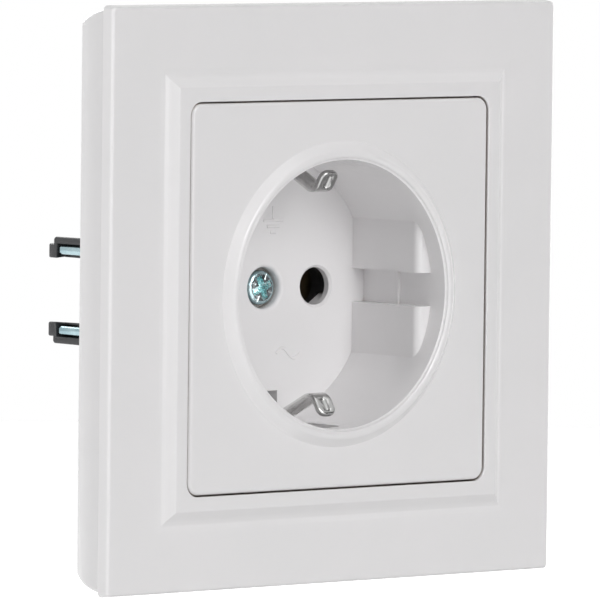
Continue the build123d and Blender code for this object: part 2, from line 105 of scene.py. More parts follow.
def buildToneDrift():
    # slow cloudy change of tone, as in moulded or plated stock
    tree, start, end = newGroup(
        "toneDrift",
        [("Color", "NodeSocketColor", (0.8, 0.8, 0.8, 1)),
         ("Second Color", "NodeSocketColor", (0.7, 0.7, 0.7, 1)),
         ("Scale", "NodeSocketFloat", 0.1),
         ("Amount", "NodeSocketFloat", 0.5)],
        [("Color", "NodeSocketColor")])
    noise = addNode(tree, "ShaderNodeTexNoise", {"Detail": 4.0, "Roughness": 0.55})
    spread = addNode(tree, "ShaderNodeMapRange", {"From Min": 0.36, "From Max": 0.64})
    share = addNode(tree, "ShaderNodeMath", operation="MULTIPLY")
    blend = addNode(tree, "ShaderNodeMix", data_type="RGBA")
    link = tree.links.new
    link(millimetres(tree), noise.inputs["Vector"])
    link(start.outputs["Scale"], noise.inputs["Scale"])
    link(noise.outputs["Fac"], spread.inputs["Value"])
    link(spread.outputs[0], share.inputs[0])
    link(start.outputs["Amount"], share.inputs[1])
    link(share.outputs[0], blend.inputs["Factor"])
    link(start.outputs["Color"], blend.inputs["A"])
    link(start.outputs["Second Color"], blend.inputs["B"])
    link(blend.outputs["Result"], end.inputs["Color"])
    return tree


def buildMouldSkin():
    # shallow orange-peel of a moulding tool, with the gloss it leaves
    tree, start, end = newGroup(
        "mouldSkin",
        [("Scale", "NodeSocketFloat", 1.5),
         ("Fine Scale", "NodeSocketFloat", 12.0),
         ("Fine Share", "NodeSocketFloat", 0.3),
         ("Gloss Low", "NodeSocketFloat", 0.2),
         ("Gloss High", "NodeSocketFloat", 0.3)],
        [("Height", "NodeSocketFloat"), ("Roughness", "NodeSocketFloat")])
    coords = millimetres(tree)
    broad = addNode(tree, "ShaderNodeTexNoise", {"Detail": 1.0})
    fine = addNode(tree, "ShaderNodeTexNoise", {"Detail": 3.0, "Roughness": 0.6})
    height = addNode(tree, "ShaderNodeMix", data_type="FLOAT")
    gloss = addNode(tree, "ShaderNodeMapRange", {"From Min": 0.3, "From Max": 0.7})
    link = tree.links.new
    for noise, scale in ((broad, "Scale"), (fine, "Fine Scale")):
        link(coords, noise.inputs["Vector"])
        link(start.outputs[scale], noise.inputs["Scale"])
    link(start.outputs["Fine Share"], height.inputs["Factor"])
    link(broad.outputs["Fac"], height.inputs["A"])
    link(fine.outputs["Fac"], height.inputs["B"])
    link(broad.outputs["Fac"], gloss.inputs["Value"])
    link(start.outputs["Gloss Low"], gloss.inputs["To Min"])
    link(start.outputs["Gloss High"], gloss.inputs["To Max"])
    link(height.outputs["Result"], end.inputs["Height"])
    link(gloss.outputs[0], end.inputs["Roughness"])
    return tree


def buildRollMarks():
    # fine lines left by rolling or brushing, stretched along one axis, with small plating grains
    tree, start, end = newGroup(
        "rollMarks",
        [("Stretch", "NodeSocketVector", (1.0, 1.0, 1.0)),
         ("Line Scale", "NodeSocketFloat", 6.0),
         ("Grain Scale", "NodeSocketFloat", 5.0),
         ("Grain Share", "NodeSocketFloat", 0.4),
         ("Grain Tilt", "NodeSocketFloat", 0.1),
         ("Gloss Low", "NodeSocketFloat", 0.2),
         ("Gloss High", "NodeSocketFloat", 0.4)],
        [("Height", "NodeSocketFloat"), ("Roughness", "NodeSocketFloat"), ("Normal", "NodeSocketVector")])
    coords = millimetres(tree)
    along = addNode(tree, "ShaderNodeVectorMath", operation="MULTIPLY")
    lines = addNode(tree, "ShaderNodeTexNoise", {"Detail": 4.0, "Roughness": 0.65})
    grains = addNode(tree, "ShaderNodeTexVoronoi", feature="F1")
    tone = addNode(tree, "ShaderNodeSeparateColor")
    mixed = addNode(tree, "ShaderNodeMix", data_type="FLOAT")
    gloss = addNode(tree, "ShaderNodeMapRange", {"From Min": 0.25, "From Max": 0.75})
    surface = addNode(tree, "ShaderNodeNewGeometry")
    centred = addNode(tree, "ShaderNodeVectorMath", {1: (0.5, 0.5, 0.5)}, operation="SUBTRACT")
    tilt = addNode(tree, "ShaderNodeVectorMath", operation="SCALE")
    leaning = addNode(tree, "ShaderNodeVectorMath", operation="ADD")
    facet = addNode(tree, "ShaderNodeVectorMath", operation="NORMALIZE")
    link = tree.links.new
    link(grains.outputs["Color"], centred.inputs[0])
    link(centred.outputs[0], tilt.inputs[0])
    link(start.outputs["Grain Tilt"], tilt.inputs["Scale"])
    link(surface.outputs["Normal"], leaning.inputs[0])
    link(tilt.outputs[0], leaning.inputs[1])
    link(leaning.outputs[0], facet.inputs[0])
    link(facet.outputs[0], end.inputs["Normal"])
    link(coords, along.inputs[0])
    link(start.outputs["Stretch"], along.inputs[1])
    link(along.outputs[0], lines.inputs["Vector"])
    link(start.outputs["Line Scale"], lines.inputs["Scale"])
    link(coords, grains.inputs["Vector"])
    link(start.outputs["Grain Scale"], grains.inputs["Scale"])
    link(grains.outputs["Color"], tone.inputs[0])
    link(start.outputs["Grain Share"], mixed.inputs["Factor"])
    link(lines.outputs["Fac"], mixed.inputs["A"])
    link(tone.outputs[0], mixed.inputs["B"])
    link(mixed.outputs["Result"], gloss.inputs["Value"])
    link(start.outputs["Gloss Low"], gloss.inputs["To Min"])
    link(start.outputs["Gloss High"], gloss.inputs["To Max"])
    link(mixed.outputs["Result"], end.inputs["Height"])
    link(gloss.outputs[0], end.inputs["Roughness"])
    return tree


def buildCreviceShade():
    # painted shade: dull brown darkening where ambient occlusion finds a narrow gap that shuts the light
    # out
    tree, start, end = newGroup(
        "creviceShade",
        [("Color", "NodeSocketColor", (0.8, 0.8, 0.8, 1)),
         ("Shade Color", "NodeSocketColor", (0.1, 0.08, 0.06, 1)),
         ("Reach", "NodeSocketFloat", 0.001),
         ("Openness", "NodeSocketFloat", 0.4)],
        [("Color", "NodeSocketColor")])
    shut = addNode(tree, "ShaderNodeAmbientOcclusion", samples=6)
    clear = addNode(tree, "ShaderNodeMapRange", {"From Min": 0.08})
    blend = addNode(tree, "ShaderNodeMix", data_type="RGBA")
    link = tree.links.new
    link(start.outputs["Reach"], shut.inputs["Distance"])
    link(shut.outputs["AO"], clear.inputs["Value"])
    link(start.outputs["Openness"], clear.inputs["From Max"])
    link(clear.outputs[0], blend.inputs["Factor"])
    link(start.outputs["Shade Color"], blend.inputs["A"])
    link(start.outputs["Color"], blend.inputs["B"])
    link(blend.outputs["Result"], end.inputs["Color"])
    return tree


toneDrift = buildToneDrift()
creviceShade = buildCreviceShade()
mouldSkin = buildMouldSkin()
rollMarks = buildRollMarks()
print("shared effects built")


# Finishes

def newFinish(name):
    finish = bpy.data.materials.new(name)
    finish.use_nodes = True
    tree = finish.node_tree
    return finish, tree, tree.nodes["Principled BSDF"]


def addBump(tree, shader, height, strength, distance, normal=None):
    bump = addNode(tree, "ShaderNodeBump", {"Strength": strength, "Distance": distance})
    tree.links.new(height, bump.inputs["Height"])
    if normal:
        tree.links.new(normal, bump.inputs["Normal"])
    tree.links.new(bump.outputs["Normal"], shader.inputs["Normal"])


def plasticFinish(name, values):
    finish, tree, shader = newFinish(name)
    drift = placeGroup(tree, toneDrift, {
        "Color": values["color"], "Second Color": values["secondColor"],
        "Scale": values["driftScale"], "Amount": values["driftAmount"]})
    skin = placeGroup(tree, mouldSkin, {
        "Scale": values["peelScale"], "Fine Scale": values["fineScale"], "Fine Share": values["fineShare"],
        "Gloss Low": values["glossLow"], "Gloss High": values["glossHigh"]})
    # painted shade: dull brown darkening in narrow gaps and creases
    gapShade = placeGroup(tree, creviceShade, {
        "Shade Color": values["gapShadeColor"], "Reach": values["gapShadeReach"],
        "Openness": values["gapShadeOpenness"]})
    tree.links.new(drift.outputs["Color"], gapShade.inputs["Color"])
    tree.links.new(gapShade.outputs["Color"], shader.inputs["Base Color"])
    tree.links.new(skin.outputs["Roughness"], shader.inputs["Roughness"])
    addBump(tree, shader, skin.outputs["Height"], values["peelStrength"], values["peelDepth"])
    shader.inputs["IOR"].default_value = values["ior"]
    return finish


def metalFinish(name, values):
    finish, tree, shader = newFinish(name)
    drift = placeGroup(tree, toneDrift, {
        "Color": values["color"], "Second Color": values["secondColor"],
        "Scale": values["driftScale"], "Amount": values["driftAmount"]})
    marks = placeGroup(tree, rollMarks, {
        "Stretch": values["stretch"], "Line Scale": values["lineScale"],
        "Grain Scale": values["grainScale"], "Grain Share": values["grainShare"],
        "Grain Tilt": values["grainTilt"],
        "Gloss Low": values["glossLow"], "Gloss High": values["glossHigh"]})
    shade = addNode(tree, "ShaderNodeMix", {"B": values["grainColor"]}, data_type="RGBA")
    depth = addNode(tree, "ShaderNodeMath", {1: values["grainDepth"]}, operation="MULTIPLY")
    tree.links.new(marks.outputs["Height"], depth.inputs[0])
    tree.links.new(depth.outputs[0], shade.inputs["Factor"])
    tree.links.new(drift.outputs["Color"], shade.inputs["A"])
    tree.links.new(shade.outputs["Result"], shader.inputs["Base Color"])
    tree.links.new(marks.outputs["Roughness"], shader.inputs["Roughness"])
    addBump(tree, shader, marks.outputs["Height"], values["markStrength"], values["markDepth"],
            marks.outputs["Normal"])
    shader.inputs["Metallic"].default_value = 1.0
    return finish


def paintTipReflection(finish, values):
    # painted dull reflection: darker metal towards the clip tips
    tree = finish.node_tree
    shader = tree.nodes["Principled BSDF"]
    place = addNode(tree, "ShaderNodeSeparateXYZ")
    zone = addNode(tree, "ShaderNodeMapRange",
                   {"From Min": values["tipReflectionStart"], "From Max": values["tipReflectionEnd"]})
    blend = addNode(tree, "ShaderNodeMix", {"B": values["tipReflectionColor"]}, data_type="RGBA")
    tree.links.new(millimetres(tree), place.inputs[0])
    tree.links.new(place.outputs["Y"], zone.inputs["Value"])
    tree.links.new(zone.outputs[0], blend.inputs["Factor"])
    tree.links.new(shader.inputs["Base Color"].links[0].from_socket, blend.inputs["A"])
    tree.links.new(blend.outputs["Result"], shader.inputs["Base Color"])


whiteValues = {
    "color": (0.882, 0.868, 0.875, 1), "secondColor": (0.863, 0.855, 0.86, 1),
    "driftScale": 0.045, "driftAmount": 0.7,
    "peelScale": 1.1, "fineScale": 9.0, "fineShare": 0.25,
    "glossLow": 0.17, "glossHigh": 0.24, "peelStrength": 0.05, "peelDepth": 0.05 * mm, "ior": 1.5,
    # gap shade entries: painted brown shade in narrow gaps
    "gapShadeColor": (0.24, 0.165, 0.115, 1), "gapShadeReach": 1.2 * mm, "gapShadeOpenness": 0.36,
}
blackValues = {
    "color": (0.02, 0.02, 0.022, 1), "secondColor": (0.03, 0.03, 0.032, 1),
    "driftScale": 0.16, "driftAmount": 0.8,
    "peelScale": 2.2, "fineScale": 14.0, "fineShare": 0.6,
    "glossLow": 0.32, "glossHigh": 0.46, "peelStrength": 0.16, "peelDepth": 0.06 * mm, "ior": 1.5,
    # gap shade entries: painted dark shade in narrow gaps
    "gapShadeColor": (0.05, 0.045, 0.04, 1), "gapShadeReach": 0.8 * mm, "gapShadeOpenness": 0.3,
}
zincValues = {
    "color": (0.62, 0.69, 0.71, 1), "secondColor": (0.5, 0.59, 0.62, 1),
    "driftScale": 0.16, "driftAmount": 0.9, "grainColor": (0.4, 0.48, 0.51, 1), "grainDepth": 0.4,
    "stretch": (0.4, 0.4, 4.0), "lineScale": 2.6, "grainScale": 2.2, "grainShare": 0.35, "grainTilt": 0.035,
    "glossLow": 0.2, "glossHigh": 0.38, "markStrength": 0.22, "markDepth": 0.03 * mm,
}
screwValues = {
    "color": (0.6, 0.74, 0.76, 1), "secondColor": (0.42, 0.59, 0.63, 1),
    "driftScale": 0.7, "driftAmount": 0.9, "grainColor": (0.3, 0.42, 0.46, 1), "grainDepth": 0.5,
    "stretch": (1.0, 1.0, 1.0), "lineScale": 3.0, "grainScale": 3.2, "grainShare": 0.6, "grainTilt": 0.18,
    "glossLow": 0.1, "glossHigh": 0.26, "markStrength": 0.25, "markDepth": 0.04 * mm,
}
clawValues = {
    "color": (0.42, 0.55, 0.58, 1), "secondColor": (0.27, 0.39, 0.43, 1),
    "driftScale": 0.5, "driftAmount": 0.9, "grainColor": (0.25, 0.34, 0.37, 1), "grainDepth": 0.35,
    "stretch": (0.6, 0.6, 5.0), "lineScale": 2.4, "grainScale": 4.0, "grainShare": 0.3, "grainTilt": 0.05,
    "glossLow": 0.14, "glossHigh": 0.3, "markStrength": 0.2, "markDepth": 0.03 * mm,
}
nickelValues = {
    "color": (0.8, 0.795, 0.785, 1), "secondColor": (0.64, 0.64, 0.635, 1),
    "driftScale": 0.6, "driftAmount": 0.8, "grainColor": (0.42, 0.42, 0.42, 1), "grainDepth": 0.3,
    "stretch": (6.0, 0.5, 0.5), "lineScale": 2.2, "grainScale": 7.0, "grainShare": 0.15, "grainTilt": 0.05,
    "glossLow": 0.12, "glossHigh": 0.26, "markStrength": 0.3, "markDepth": 0.03 * mm,
    # tip reflection entries: painted dull reflection towards the clip tips
    "tipReflectionStart": -5.4, "tipReflectionEnd": -7.0, "tipReflectionColor": (0.43, 0.43, 0.425, 1),
}
brassValues = {
    "color": (0.73, 0.55, 0.27, 1), "secondColor": (0.62, 0.43, 0.2, 1),
    "driftScale": 0.3, "driftAmount": 0.8, "grainColor": (0.4, 0.27, 0.12, 1), "grainDepth": 0.4,
    "stretch": (5.0, 0.6, 5.0), "lineScale": 2.0, "grainScale": 6.0, "grainShare": 0.2, "grainTilt": 0.06,
    "glossLow": 0.2, "glossHigh": 0.38, "markStrength": 0.18, "markDepth": 0.03 * mm,
}
# lit and shaded copies of the screw zinc: a painted dark reflection with painted glints on the flat crown,
# a painted highlight on the ticks, brighter teal with painted white glints in the recess
crownReflectionValues = dict(screwValues, color=(0.16, 0.175, 0.18, 1), secondColor=(0.06, 0.065, 0.07, 1),
                   grainColor=(0.42, 0.5, 0.52, 1), grainDepth=0.45, grainTilt=0.5)
tickHighlightValues = dict(screwValues, color=(0.93, 0.95, 0.95, 1), secondColor=(0.8, 0.86, 0.87, 1),
                  grainColor=(0.7, 0.76, 0.78, 1), grainDepth=0.3, grainTilt=0.1)
recessGlintValues = dict(screwValues, color=(0.62, 0.82, 0.83, 1), secondColor=(0.36, 0.6, 0.62, 1),
                    grainColor=(0.9, 0.95, 0.95, 1), grainDepth=0.5, grainTilt=0.45)
finishes = {
    "claw_steel": metalFinish("clawSteel", clawValues),
    "screw_zinc": metalFinish("screwZinc", screwValues),
    "screw_crown_reflection": metalFinish("screwCrownReflection", crownReflectionValues),
    "screw_tick_highlight": metalFinish("screwTickHighlight", tickHighlightValues),
    "screw_recess_glint": metalFinish("screwRecessGlint", recessGlintValues),
    "white_plastic": plasticFinish("whiteGlossPlastic", whiteValues),
    "black_plastic": plasticFinish("blackSatinPlastic", blackValues),
    "zinc_steel": metalFinish("zincPlatedSteel", zincValues),
    "nickel_strip": metalFinish("nickelPlatedStrip", nickelValues),
    "contact_brass": metalFinish("pressedBrass", brassValues),
}
# painted dull reflection on the clip tips
paintTipReflection(finishes["nickel_strip"], nickelValues)
for part in frame["record"]["subparts"]:
    mesh = nodes[part["node"]].data
    mesh.materials.clear()
    mesh.materials.append(finishes[part["material_slot"]])


# Threaded screws

screwKinds = {
    "cover": {
        "headHeight": 1.8, "crownDrop": 0.14, "edgeRound": 0.55,
        "threadRadius": 1.5, "coreRadius": 1.22, "pitch": 0.5, "facing": -1, "turn": 22.0,
        "wing": 1.8, "wingWidth": 1.05, "recessDepth": 1.5, "tick": 0.26,
        "slotWidth": 0.0, "slotDepth": 0.0,
        # after the plain zinc come the painted reflection, painted highlight and painted glints of the head
        "finishes": ["screw_zinc", "screw_crown_reflection", "screw_tick_highlight", "screw_recess_glint"]},
    "claw": {
        "headHeight": 2.0, "crownDrop": 0.16, "edgeRound": 0.6,
        "threadRadius": 1.5, "coreRadius": 1.22, "pitch": 0.5, "facing": -1, "turn": 8.0,
        "wing": 1.7, "wingWidth": 0.95, "recessDepth": 1.5, "tick": 0.26,
        "slotWidth": 0.7, "slotDepth": 0.7,
        "finishes": ["screw_zinc"]},
    "terminal": {
        "headHeight": 2.2, "crownDrop": 0.14, "edgeRound": 0.6,
        "threadRadius": 1.6, "coreRadius": 1.3, "pitch": 0.7, "facing": 1, "turn": 3.0,
        "wing": 0.0, "wingWidth": 0.0, "recessDepth": 0.0, "tick": 0.0,
        "slotWidth": 0.9, "slotDepth": 1.0,
        "finishes": ["screw_zinc"]},
}
screwPlaces = [
    ("cover_screw", "cover", "root"),
    ("left_claw_screw", "claw", "left_screw"), ("right_claw_screw", "claw", "right_screw"),
    ("live_terminal_screw", "terminal", "root"), ("neutral_terminal_screw", "terminal", "root"),
    ("earth_terminal_screw", "terminal", "root"),
]
latheValues = {
    "sides": 40, "crownRings": 4, "edgeRings": 5, "softAngle": 32,
    "start": 0.37,           # share of a side, keeps the cutters' edges off the lathe's corners
    "threadSteps": 8,        # rings for each turn of the thread
    "ridgeTop": 1.25, "ridgeSlope": 2.9,
    "underside": 0.08, "neck": 0.2, "tail": 0.5, "tipRun": 0.2, "tipInset": 0.3,
}
cutterValues = {
    "above": -0.3, "narrow": 0.5, "wide": 1.1,     # the cross tapers from wide above the crown to narrow
    "slotReach": 1.2, "slotSkew": 0.013,
    "tickInner": 0.5, "tickOuter": 0.93, "tickSpread": 3,
}
headValues = {
    "underNear": 0.1, "sideNear": 0.02, "edgeNear": 0.04, "crownNear": 0.02,
    "tickFrom": 28, "tickTo": 62, "tickBelow": 0.1,
}


def placeForm(name, form):
    mesh = bpy.data.meshes.new(name)
    form.to_mesh(mesh)
    form.free()
    piece = bpy.data.objects.new(name, mesh)
    bpy.context.scene.collection.objects.link(piece)
    return piece


def softenMesh(mesh, angle):
    mesh.shade_smooth()
    mesh.set_sharp_from_angle(angle=math.radians(angle))


def screwRings(values, radius, length):
    # rings from the crown to the tip: distance from the crown, radius, share of the thread's height
    head = values["headHeight"]
    soft = values["edgeRound"]
    core = values["coreRadius"]
    drop = values["crownDrop"]
    under = latheValues["underside"]
    steps = latheValues["threadSteps"]
    rings = []
    for k in range(1, latheValues["crownRings"] + 1):
        share = k / latheValues["crownRings"]
        rings.append((drop * share ** 2, (radius - soft) * share, 0))
    for k in range(1, latheValues["edgeRings"] + 1):
        turn = math.radians(90 * k / latheValues["edgeRings"])
        rings.append((drop + soft * (1 - math.cos(turn)), radius - soft + soft * math.sin(turn), 0))
    rings += [(head - under, radius, 0), (head, radius - under, 0), (head, core, 0)]
    start = head + latheValues["neck"]
    turns = int((length - start - latheValues["tail"]) / values["pitch"] * steps)
    for k in range(turns + 1):
        share = min(1, k / steps, (turns - k) / steps)
        rings.append((start + k * values["pitch"] / steps, core, share))
    rings += [(length - latheValues["tipRun"], core, 0), (length, core - latheValues["tipInset"], 0)]
    return rings


def threadShape(phase):
    # trapezoid ridge over one pitch
    return max(0.0, min(1.0, latheValues["ridgeTop"] - latheValues["ridgeSlope"] * abs(phase - 0.5)))


def latheScrew(values, rings, toFrame):
    form = bmesh.new()
    sides = latheValues["sides"]
    ridge = values["threadRadius"] - values["coreRadius"]
    loops = []
    for distance, radius, share in rings:
        loop = []
        for k in range(sides):
            angle = 2 * math.pi * (k + latheValues["start"]) / sides
            phase = (distance / values["pitch"] - values["facing"] * k / sides) % 1
            out = radius + share * ridge * threadShape(phase)
            loop.append(form.verts.new(toFrame(out * math.cos(angle), out * math.sin(angle), distance)))
        loops.append(loop)
    crown = form.verts.new(toFrame(0, 0, 0))
    tip = form.verts.new(toFrame(0, 0, rings[-1][0]))
    for k in range(sides):
        after = (k + 1) % sides
        form.faces.new((crown, loops[0][k], loops[0][after]))
        form.faces.new((tip, loops[-1][after], loops[-1][k]))
        for near, far in zip(loops, loops[1:]):
            form.faces.new((near[k], far[k], far[after], near[after]))
    bmesh.ops.recalc_face_normals(form, faces=form.faces)
    return form


def addPrism(form, front, back, toFrame):
    # closed solid between two outlines with the same number of corners
    first = [form.verts.new(toFrame(*point)) for point in front]
    last = [form.verts.new(toFrame(*point)) for point in back]
    faces = [form.faces.new(first), form.faces.new(last[::-1])]
    for k in range(len(first)):
        after = (k + 1) % len(first)
        faces.append(form.faces.new((first[k], last[k], last[after], first[after])))
    return faces


def crossOutline(reach, width, distance):
    # twelve corners of a cross in the head's own plane
    half = width / 2
    corner = [(reach, -half), (reach, half), (half, half)]
    points = []
    for quarter in range(4):
        c, s = ((1, 0), (0, 1), (-1, 0), (0, -1))[quarter]
        points += [(c * x - s * z, s * x + c * z, distance) for x, z in corner]
    return points


def recessCutters(values, radius, toFrame):
    # cross, then the slot, then the four ticks between the wings
    above = cutterValues["above"]
    depth = values["recessDepth"]
    narrow = cutterValues["narrow"]
    wide = cutterValues["wide"]
    spread = cutterValues["tickSpread"]
    forms = []
    if values["wing"]:
        forms.append(bmesh.new())
        addPrism(forms[0], crossOutline(values["wing"] * wide, values["wingWidth"] * wide, above),
                 crossOutline(values["wing"] * narrow, values["wingWidth"] * narrow, depth), toFrame)
    if values["slotWidth"]:
        forms.append(bmesh.new())
        half = values["slotWidth"] / 2
        out = radius * cutterValues["slotReach"]
        skew = cutterValues["slotSkew"]
        sides = [(-out, -half - skew), (out, -half + skew), (out, half + skew), (-out, half - skew)]
        addPrism(forms[-1], [(x, z, above) for x, z in sides],
                 [(x, z, values["slotDepth"]) for x, z in sides], toFrame)
    if values["tick"]:
        forms.append(bmesh.new())
        half = values["tick"] / 2
        for quarter in range(4):
            turn = math.radians(45 + 90 * quarter)
            c, s = math.cos(turn), math.sin(turn)
            ends = []
            for reach in (radius * cutterValues["tickInner"], radius * cutterValues["tickOuter"]):
                section = [(-half * spread, above), (half * spread, above), (0, values["tick"])]
                ends.append([(c * reach - s * across, s * reach + c * across, down)
                             for across, down in section])
            addPrism(forms[-1], ends[0], ends[1], toFrame)
    for form in forms:
        bmesh.ops.triangulate(form, faces=form.faces)
        bmesh.ops.recalc_face_normals(form, faces=form.faces)
    return forms


def headFinish(values, radius, x, z, distance):
    # which finish a face of the screw takes: plain zinc on shank and edge, a painted dark reflection on the
    # crown, a painted highlight on a tick, or brighter teal with painted glints in the recess
    reach = math.hypot(x, z)
    soft = values["edgeRound"]
    flat = radius - soft
    offEdge = abs(math.hypot(reach - flat, values["crownDrop"] + soft - distance) - soft)
    onShank = distance > values["headHeight"] - headValues["underNear"]
    onSide = reach > radius - headValues["sideNear"]
    if onShank or onSide or (reach > flat and offEdge < headValues["edgeNear"]):
        return 0
    below = distance - values["crownDrop"] * (reach / flat) ** 2
    if below < headValues["crownNear"]:
        return 1
    between = math.degrees(math.atan2(z, x)) % 90
    inTick = headValues["tickFrom"] < between < headValues["tickTo"]
    return 2 if inTick and below < values["tick"] + headValues["tickBelow"] else 3


def buildScrew(node, kind, body):
    values = screwKinds[kind]
    low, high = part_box(node)
    low, high = low / mm, high / mm      # the cuts are made in millimetres
    middle = (low + high) / 2
    crown = low.y if values["facing"] < 0 else high.y
    turn = math.radians(values["turn"])

    def toFrame(x, z, distance):
        return Vector((middle.x + x * math.cos(turn) - z * math.sin(turn),
                       crown - values["facing"] * distance,
                       middle.z + x * math.sin(turn) + z * math.cos(turn)))

    radius = (high.x - low.x) / 2
    length = high.y - low.y
    screw = placeForm(node + "_threaded", latheScrew(values, screwRings(values, radius, length), toFrame))
    cutters = [placeForm("recessCutter", form) for form in recessCutters(values, radius, toFrame)]
    for cutter in cutters:
        cut = screw.modifiers.new("recess", "BOOLEAN")
        cut.operation = "DIFFERENCE"
        cut.solver = "EXACT"
        cut.object = cutter
    shaped = bpy.data.meshes.new_from_object(screw.evaluated_get(bpy.context.evaluated_depsgraph_get()))
    screw.modifiers.clear()
    screw.data = shaped
    for cutter in cutters:
        bpy.data.objects.remove(cutter)
    softenMesh(shaped, latheValues["softAngle"])
    shaped.materials.clear()
    for name in values["finishes"]:
        shaped.materials.append(finishes[name])
    # faces of the crown, ticks and recess take the painted reflection, highlight and glints
    if len(values["finishes"]) > 1:
        for face in shaped.polygons:
            across, up = face.center.x - middle.x, face.center.z - middle.z
            face.material_index = headFinish(
                values, radius, across * math.cos(turn) + up * math.sin(turn),
                up * math.cos(turn) - across * math.sin(turn), (crown - face.center.y) / values["facing"])
    shaped.transform(Matrix.Scale(mm, 4))
    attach(screw, body)
    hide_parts(node)
    return len(shaped.polygons)


print("screws built with", sum(buildScrew(*place) for place in screwPlaces), "faces")


# Strip, claws and carrier with rolled edges

edgeValues = {
    "earth_strap": {"body": "root", "slot": "nickel_strip", "finish": "nickel_strip",
                    "round": 0.36, "steps": 4, "over": 70},
    "left_claw": {"body": "left_claw", "slot": "zinc_steel", "finish": "claw_steel",
                  "round": 0.2, "steps": 3, "over": 60},
    "right_claw": {"body": "right_claw", "slot": "zinc_steel", "finish": "claw_steel",
                   "round": 0.2, "steps": 3, "over": 60},
    "claw_carrier": {"body": "root", "slot": "black_plastic", "finish": "black_plastic",
                     "round": 0.24, "steps": 3, "over": 60},
}
weldReach = 0.001    # millimetres between points that count as one
flatAngle = 0.5      # degrees between faces that count as one
rolledAngle = 40


def buildRolled(node):
    values = edgeValues[node]
    form = bmesh.new()
    form.from_mesh(nodes[node].data)
    bmesh.ops.remove_doubles(form, verts=form.verts, dist=weldReach * mm)
    bmesh.ops.dissolve_limit(form, angle_limit=math.radians(flatAngle), verts=form.verts, edges=form.edges)
    over = math.radians(values["over"])
    sharp = [e for e in form.edges if e.is_manifold and e.calc_face_angle_signed() > over]
    bmesh.ops.bevel(form, geom=sharp, offset=values["round"] * mm, segments=values["steps"], profile=0.5,
                    affect="EDGES", clamp_overlap=False)
    piece = placeForm(node + "_rolled", form)
    softenMesh(piece.data, rolledAngle)
    piece.data.materials.append(finishes[values["finish"]])
    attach(piece, values["body"])
    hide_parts(node)


for name in edgeValues:
    buildRolled(name)
print("rolled edges built")


# Frame with a drafted side wall and a small round at its front edge

frameValues = {
    "side": 41.0, "cornerRound": 0.8, "wallRear": -7.55, "oldPlate": -9.0, "plate": -9.44, "rimTop": -10.5,
    "rimFoot": 31.7, "footSpread": 0.45, "draft": 0.2, "round": 0.45, "steps": 6,
    "near": 0.02, "edgeBand": 2, "softAngle": 20, "flatWeight": 100,
}


def squareReach(vert):
    return max(abs(vert.co.x), abs(vert.co.z))


def isEdgeFace(face):
    # plate, bevel and outer wall in front of the step, outside the rim
    values = frameValues
    near = values["near"]
    levels = [vert.co.y for vert in face.verts]
    outside = all(squareReach(vert) > values["rimFoot"] - near for vert in face.verts)
    inFront = max(levels) < values["wallRear"] + near and min(levels) < values["wallRear"] - near
    return outside and inFront and min(levels) > values["oldPlate"] - near


def walkLoop(edges):
    # vertices of a closed chain of edges, in order
    start = edges[0].verts[0]
    loop, edge = [start], edges[0]
    left = set(edges)
    while True:
        left.discard(edge)
        vert = edge.other_vert(loop[-1])
        if vert is start:
            return loop
        loop.append(vert)
        edge = next(e for e in vert.link_edges if e in left)


def outwardSide(vert):
    # direction out of the rounded square, in X and Z
    flat = frameValues["side"] - frameValues["cornerRound"]
    x = vert.co.x - max(-flat, min(flat, vert.co.x))
    z = vert.co.z - max(-flat, min(flat, vert.co.z))
    return Vector((x, 0, z)).normalized()


def edgeProfile():
    # inset and level from the top of the drafted wall, round the edge, to the plate
    values = frameValues
    points = []
    for k in range(values["steps"] + 1):
        turn = math.radians(90 * k / values["steps"])
        points.append((values["draft"] + values["round"] * (1 - math.cos(turn)),
                       values["plate"] + values["round"] * (1 - math.sin(turn))))
    return points


